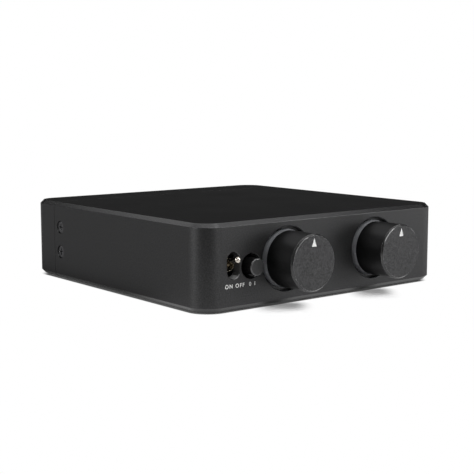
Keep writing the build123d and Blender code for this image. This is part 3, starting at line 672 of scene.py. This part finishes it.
def beyond_case(nodes, place):
    """0 under the case and 1 beyond its outline, or in mirrors from just inside it."""
    low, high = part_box("top_shell")
    low, high = low.xy, Vector((high.x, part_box("rear_cap")[1].y))
    centre = (*((low + high) / 2), 0.0)
    core = (*((high - low) / 2 - Vector((CASE_RADIUS, CASE_RADIUS))), 0.0)
    distance = nodes.math("SUBTRACT", outside(nodes, place, centre, core), CASE_RADIUS)
    seen = nodes.fade(distance, *SEEN_EDGE)
    across = nodes.vector("DOT_PRODUCT", place, ACROSS, out="Value")
    for end in CORNER_ENDS:
        seen = nodes.math("MAXIMUM", seen, nodes.fade(across, *end))
    return nodes.mixed(nodes.ray("Camera"), nodes.fade(distance, *MIRRORED_EDGE), seen)


def beyond_shadows(nodes, place):
    """0 in the shadows that the floor keeps and 1 away from them."""
    far = 1.0
    for centre, half, turn, end in SHADOWS:
        away = nodes.fade(outside(nodes, place, centre, half, turn), 0.0, end)
        far = nodes.math("MINIMUM", far, away)
    return far


def room_light(nodes, place):
    """White, but in mirrors dim toward the camera's side of the room, and darkened beside the left side
    with painted shade.
    """
    mirror = nodes.ray("Glossy")
    flat = nodes.vector("MULTIPLY", place, (1, 1, 0))
    toward = nodes.vector("DOT_PRODUCT", nodes.vector("NORMALIZE", flat), DARK_WAY, out="Value")
    away = nodes.fade(nodes.vector("LENGTH", flat, out="Value"), ROOM_START, ROOM_END)
    dark = nodes.product(nodes.fade(toward, *ROOM_SIDE), away, mirror)
    room = nodes.spread(dark, 0.0, 1.0, 1.0, ROOM_LEVEL)
    x, y = nodes.axis(place, "X"), nodes.axis(place, "Y")
    beside = nodes.product(nodes.fade(x, *LEFT_SIDE, 1.0, 0.0), nodes.fade(y, *LEFT_START), mirror)
    return nodes.mixed(beside, room, nodes.product(room, nodes.fade(x, *LEFT_NEAR, *LEFT_LEVELS)))


def floor():
    """A pale floor that keeps the shadow of the object, is painted dark in the gap under the case, and
    is plain white further out.
    """
    mesh = bpy.data.meshes.new("floor")
    half = FLOOR_SIZE / 2
    corners = [(-half, -half, 0), (half, -half, 0), (half, half, 0), (-half, half, 0)]
    mesh.from_pydata(corners, [], [(0, 1, 2, 3)])
    plane = bpy.data.objects.new("floor", mesh)
    bpy.context.scene.collection.objects.link(plane)
    material = bpy.data.materials.new("pale_floor")
    mesh.materials.append(material)
    nodes = Nodes(material)
    place = nodes.add("ShaderNodeTexCoord").outputs["Object"]
    open_floor = beyond_case(nodes, place)
    others = nodes.math("SUBTRACT", 1.0, nodes.ray("Camera"))
    # Where the camera looks under the case, the floor is painted dark: painted shadow in the gap
    colour = nodes.blended(nodes.math("MAXIMUM", open_floor, others), GAP_SHADOW_PAINT, FLOOR_COLOUR)
    paint = nodes.add("ShaderNodeBsdfDiffuse", colour).outputs[0]
    glow = nodes.spread(open_floor, 0.0, 1.0, GAP_GLOW, FLOOR_GLOW)
    glow = nodes.add("ShaderNodeEmission", None, glow).outputs[0]
    lit = nodes.add("ShaderNodeAddShader", paint, glow).outputs[0]
    white = nodes.add("ShaderNodeEmission", None, room_light(nodes, place)).outputs[0]
    far = nodes.math("MINIMUM", open_floor, beyond_shadows(nodes, place))
    before = nodes.fade(nodes.axis(place, "Y"), *MIRRORED_SHADOW_Y, 1.0, 0.0)
    far = nodes.math("MAXIMUM", far, nodes.product(before, nodes.ray("Glossy")))
    near = nodes.add("ShaderNodeMixShader", far, lit, white).outputs[0]
    surface = nodes.add("ShaderNodeMixShader", nodes.seen(), paint, near).outputs[0]
    nodes.add("ShaderNodeOutputMaterial", surface)


def sky():
    """White where the camera looks; in mirrors, a white backdrop behind the object, and a dim room."""
    world = bpy.data.worlds.new("studio")
    bpy.context.scene.world = world
    nodes = Nodes(world)
    place = nodes.add("ShaderNodeTexCoord").outputs["Generated"]
    low = nodes.fade(nodes.axis(place, "Z"), BACKDROP_TOP, BACKDROP_END, 1.0, 0.0)
    facing = nodes.vector("DOT_PRODUCT", place, heading(CAMERA_AZIMUTH), out="Value")
    behind = nodes.fade(facing, -BACKDROP_SIDE, BACKDROP_SIDE)
    level = nodes.math("MAXIMUM", nodes.product(low, behind, nodes.seen()), ROOM_LEVEL)
    strength = nodes.math("MAXIMUM", level, nodes.ray("Camera"))
    background = nodes.add("ShaderNodeBackground", WHITE, strength).outputs[0]
    nodes.add("ShaderNodeOutputWorld", background)


def softbox(name, place, target, size, level, turn=0.0, lights=True, mirrored=True):
    """A lamp of that width and height that faces target; level is how bright it is: 1 is white.

    turn is in degrees, about the lamp's own axis. One that doesn't light things is a card that
    only shows in what is glossy, and one that isn't mirrored only lights."""
    data = bpy.data.lights.new(name, "AREA")
    data.shape = "RECTANGLE"
    data.size, data.size_y = size
    data.energy = level * math.pi * data.size * data.size_y
    lamp = bpy.data.objects.new(name, data)
    lamp.location = place
    facing = (Vector(target) - Vector(place)).to_track_quat("-Z", "Y")
    lamp.rotation_euler = (facing @ Quaternion((0, 0, 1), math.radians(turn))).to_euler()
    lamp.visible_diffuse = lights
    lamp.visible_glossy = mirrored
    bpy.context.scene.collection.objects.link(lamp)


def lamps():
    """The lamps that light the object, and the cards that it mirrors."""
    front = (0.0, -0.07, 0.03)
    softbox("overhead", (0.25, 0.62, 1.0), (0.25, 0.62, 0.0), (1.5, 2.0), 1.2)
    softbox("front_soft", (0.16, -0.62, 0.90), (0.0, -0.08, 0.0), (0.80, 0.80), 3.4, mirrored=False)
    softbox("front_right", (0.95, -0.55, 0.17), front, (0.8, 0.36), 3.3)
    softbox("front_left", (0.10, -1.05, 0.12), (-0.07, -0.07, 0.03), (0.3, 0.3), 2.6, lights=False)
    softbox("left_strip", (-0.87, 0.15, 0.32), (0.0, 0.0, 0.03), (0.26, 0.6), 8.0)
    softbox("key", (-0.35, -0.82, 0.90), (-0.35, -0.82, 0.0), (1.55, 0.22), 8.5, turn=30, lights=False)
    softbox("front_high", (0.62, -0.64, 0.60), front, (0.60, 0.26), 9.0, lights=False)


def camera():
    """A camera where the photograph was taken from."""
    data = bpy.data.cameras.new("camera")
    data.lens = CAMERA_LENS
    data.clip_start, data.clip_end = CAMERA_CLIP
    view = bpy.data.objects.new("camera", data)
    view.location = CAMERA_PLACE
    view.rotation_euler = (math.radians(90 - CAMERA_PITCH), 0, -math.radians(CAMERA_AZIMUTH))
    bpy.context.scene.collection.objects.link(view)
    bpy.context.scene.camera = view


finish_nodes()
plain_pieces()
button_coil()
for node in TURNED_NODES:
    turned(node)
for node in KNOBS:
    pointer(node)
lettering("switch_lettering", *SWITCH_WORDS)
lettering("button_lettering", *BUTTON_WORDS)

camera()
floor()
sky()
lamps()
bpy.context.scene.view_settings.view_transform = "Standard"
